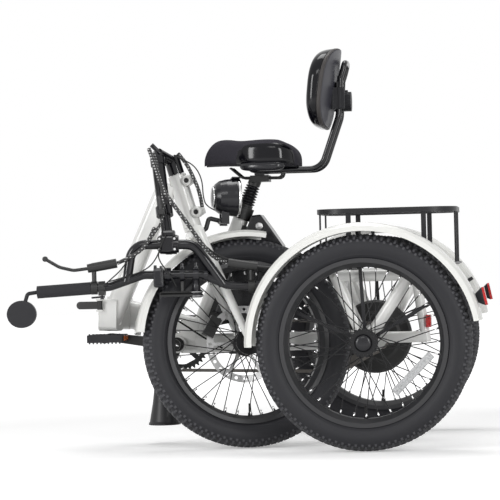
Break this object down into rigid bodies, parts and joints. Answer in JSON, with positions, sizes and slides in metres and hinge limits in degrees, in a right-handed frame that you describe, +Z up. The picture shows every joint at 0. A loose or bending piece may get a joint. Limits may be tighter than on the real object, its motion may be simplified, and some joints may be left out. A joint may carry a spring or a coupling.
{
  "type": "folding adult electric tricycle",
  "caption": "Folding three-wheeled adult cycle in its folded state: spoked wheels under mudguards, a rack over the rear axle, a sprung saddle with backrest and a folded stem with handlebar.",
  "frame": {"origin": "bottom centre of the bounding box, on the ground", "axes": "+X points back along the rear half, from the fold joint to the rack; +Y points to the rider's right; +Z points up"},
  "size_m": [1.225, 0.74, 1.051],
  "materials": {
    "frame_white": "gloss",
    "guard_white": "gloss",
    "black_paint": "satin",
    "black_alloy": "satin",
    "tyre_black": "matte",
    "rim_black": "gloss",
    "hub_black": "satin",
    "steel": "satin",
    "black_plastic": "matte",
    "gloss_black": "gloss",
    "saddle_skin": "satin",
    "back_skin": "gloss",
    "rubber_black": "matte",
    "red_lens": "gloss",
    "clear_lens": "gloss",
    "loom_black": "matte",
    "motor_grey": "satin"
  },
  "bodies": {
    "rear_half": {"rear_frame": "frame_white", "axle_carriage": "frame_white", "rack": "black_paint", "fender_left": "guard_white", "fender_right": "guard_white", "fender_stays": "black_paint", "tail_light_bodies": "black_plastic", "tail_lenses": "red_lens", "battery_cradle": "black_alloy", "hub_motor": "motor_grey", "support_foot": "black_paint", "chain": "steel", "chain_tensioner": "steel", "seat_collar": "black_alloy"},
    "wheel_left": {"tyre_left": "tyre_black", "rim_left": "rim_black", "hub_left": "hub_black"},
    "wheel_right": {"tyre_right": "tyre_black", "rim_right": "rim_black", "hub_right": "hub_black"},
    "rear_cog": {"rear_cog": "steel"},
    "crankset": {"crankset": "black_alloy"},
    "pedal_left": {"pedal_left": "black_plastic"},
    "pedal_right": {"pedal_right": "black_plastic"},
    "front_half": {"front_frame": "frame_white"},
    "fold_latch": {"fold_latch": "black_alloy"},
    "steering": {"fork": "frame_white", "front_fender": "guard_white", "front_caliper": "black_alloy", "headlight_bracket": "black_paint", "stem_base": "black_alloy", "lamp_loom": "loom_black"},
    "headlight": {"headlight_housing": "gloss_black", "headlight_lens": "clear_lens"},
    "front_wheel": {"tyre_front": "tyre_black", "rim_front": "rim_black", "hub_front": "hub_black", "front_rotor": "steel"},
    "stem": {"stem_tube": "black_alloy"},
    "stem_lever": {"stem_lever": "black_alloy"},
    "bars": {"stem_inner": "black_alloy", "handlebar": "black_alloy", "grips": "rubber_black", "brake_perches": "black_alloy", "display_unit": "black_plastic", "main_loom": "loom_black", "lever_loom": "loom_black"},
    "brake_left": {"brake_lever_left": "black_alloy"},
    "brake_right": {"brake_lever_right": "black_alloy"},
    "shift_lever": {"shift_lever": "black_plastic"},
    "mirror": {"mirror": "black_plastic"},
    "seat_post": {"seat_post": "black_alloy", "seat_boot": "rubber_black"},
    "saddle": {"saddle_frame": "steel", "saddle_base": "black_plastic", "saddle_pad": "saddle_skin", "backrest_frame": "black_paint"},
    "backrest": {"backrest_pad": "back_skin"},
    "backrest_knob": {"backrest_knob": "black_plastic"},
    "battery": {"battery": "gloss_black"}
  },
  "joints": [
    {"name": "wheel_left_spin", "type": "hinge", "parent": "rear_half", "child": "wheel_left", "pos_m": [0.30146, -0.327, 0.2725], "axis": [0, 1, 0], "continuous": true},
    {"name": "wheel_right_spin", "type": "hinge", "parent": "rear_half", "child": "wheel_right", "pos_m": [0.30146, 0.327, 0.2725], "axis": [0, 1, 0], "continuous": true},
    {"name": "crank_turn", "type": "hinge", "parent": "rear_half", "child": "crankset", "pos_m": [-0.22054, 0, 0.266], "axis": [0, 1, 0], "range_deg": [-70, 0.5]},
    {"name": "cog_turn", "type": "hinge", "parent": "rear_half", "child": "rear_cog", "pos_m": [0.30146, 0.048, 0.2725], "axis": [0, 1, 0], "continuous": true},
    {"name": "pedal_left_turn", "type": "hinge", "parent": "crankset", "child": "pedal_left", "pos_m": [-0.38889, -0.13, 0.28966], "axis": [0, 1, 0], "range_deg": [-7, 7]},
    {"name": "pedal_right_turn", "type": "hinge", "parent": "crankset", "child": "pedal_right", "pos_m": [-0.0522, 0.13, 0.24234], "axis": [0, 1, 0], "continuous": true},
    {"name": "frame_fold", "type": "hinge", "parent": "rear_half", "child": "front_half", "pos_m": [-0.39954, -0.056, 0.352], "axis": [0, 0, -1], "range_deg": [0, 1]},
    {"name": "latch_turn", "type": "hinge", "parent": "front_half", "child": "fold_latch", "pos_m": [-0.4047, -0.1502, 0.378], "axis": [0, 0, 1], "range_deg": [0, 90]},
    {"name": "steering_turn", "type": "hinge", "parent": "front_half", "child": "steering", "pos_m": [-0.19245, -0.14166, 0.711], "axis": [-0.2763, 0.0388, 0.9603], "range_deg": [0, 2]},
    {"name": "headlight_tilt", "type": "hinge", "parent": "steering", "child": "headlight", "pos_m": [-0.08214, -0.12472, 0.59001], "axis": [-0.2758, 0.954, -0.1179], "range_deg": [-10, 10]},
    {"name": "front_wheel_spin", "type": "hinge", "parent": "steering", "child": "front_wheel", "pos_m": [-0.01825, -0.14565, 0.27125], "axis": [-0.2758, 0.954, -0.1179], "continuous": true},
    {"name": "stem_fold", "type": "hinge", "parent": "steering", "child": "stem", "pos_m": [-0.23354, -0.195, 0.752], "axis": [-0.8983, 0.3448, -0.2724], "range_deg": [0, 1.5]},
    {"name": "stem_lever_turn", "type": "hinge", "parent": "stem", "child": "stem_lever", "pos_m": [-0.21135, -0.27431, 0.61638], "axis": [0, 1, 0], "range_deg": [-60, 0]},
    {"name": "bar_height", "type": "slide", "parent": "stem", "child": "bars", "axis": [0.152, -0.3378, -0.9289], "range_m": [0, 0.008]},
    {"name": "brake_left_pull", "type": "hinge", "parent": "bars", "child": "brake_left", "pos_m": [-0.40554, -0.2949, 0.4748], "axis": [0.1054, -0.9944, 0], "range_deg": [0, 16], "stiffness_Nm_per_rad": 0.6, "springref_deg": -17.19},
    {"name": "brake_right_pull", "type": "hinge", "parent": "bars", "child": "brake_right", "pos_m": [0.02646, -0.2491, 0.4687], "axis": [-0.1054, 0.9944, 0], "range_deg": [0, 16], "stiffness_Nm_per_rad": 0.6, "springref_deg": -17.19},
    {"name": "shift_push", "type": "hinge", "parent": "bars", "child": "shift_lever", "pos_m": [-0.36954, -0.29508, 0.401], "axis": [0, 0, 1], "range_deg": [-12, 12], "stiffness_Nm_per_rad": 0.05},
    {"name": "mirror_swivel", "type": "hinge", "parent": "bars", "child": "mirror", "pos_m": [-0.53754, -0.30889, 0.417], "axis": [0.9944, 0.1054, 0], "range_deg": [-15, 15]},
    {"name": "seat_height", "type": "slide", "parent": "rear_half", "child": "seat_post", "axis": [0.3795, 0, 0.9252], "range_m": [0, 0.09]},
    {"name": "saddle_spring", "type": "slide", "parent": "seat_post", "child": "saddle", "axis": [0.3795, 0, 0.9252], "range_m": [-0.02, 0], "stiffness_N_per_m": 20000, "springref_m": 0.006, "deforming": ["seat_boot"]},
    {"name": "backrest_height", "type": "slide", "parent": "saddle", "child": "backrest", "axis": [0, 0, 1], "range_m": [-0.02, 0.04]},
    {"name": "knob_turn", "type": "hinge", "parent": "saddle", "child": "backrest_knob", "pos_m": [0.24546, 0, 0.9], "axis": [1, 0, 0], "continuous": true},
    {"name": "battery_slide", "type": "slide", "parent": "rear_half", "child": "battery", "axis": [0.3795, 0, 0.9252], "range_m": [0, 0.05]}
  ],
  "couplings": [
    {"joint": "cog_turn", "follows": "crank_turn", "ratio": 2}
  ]
}
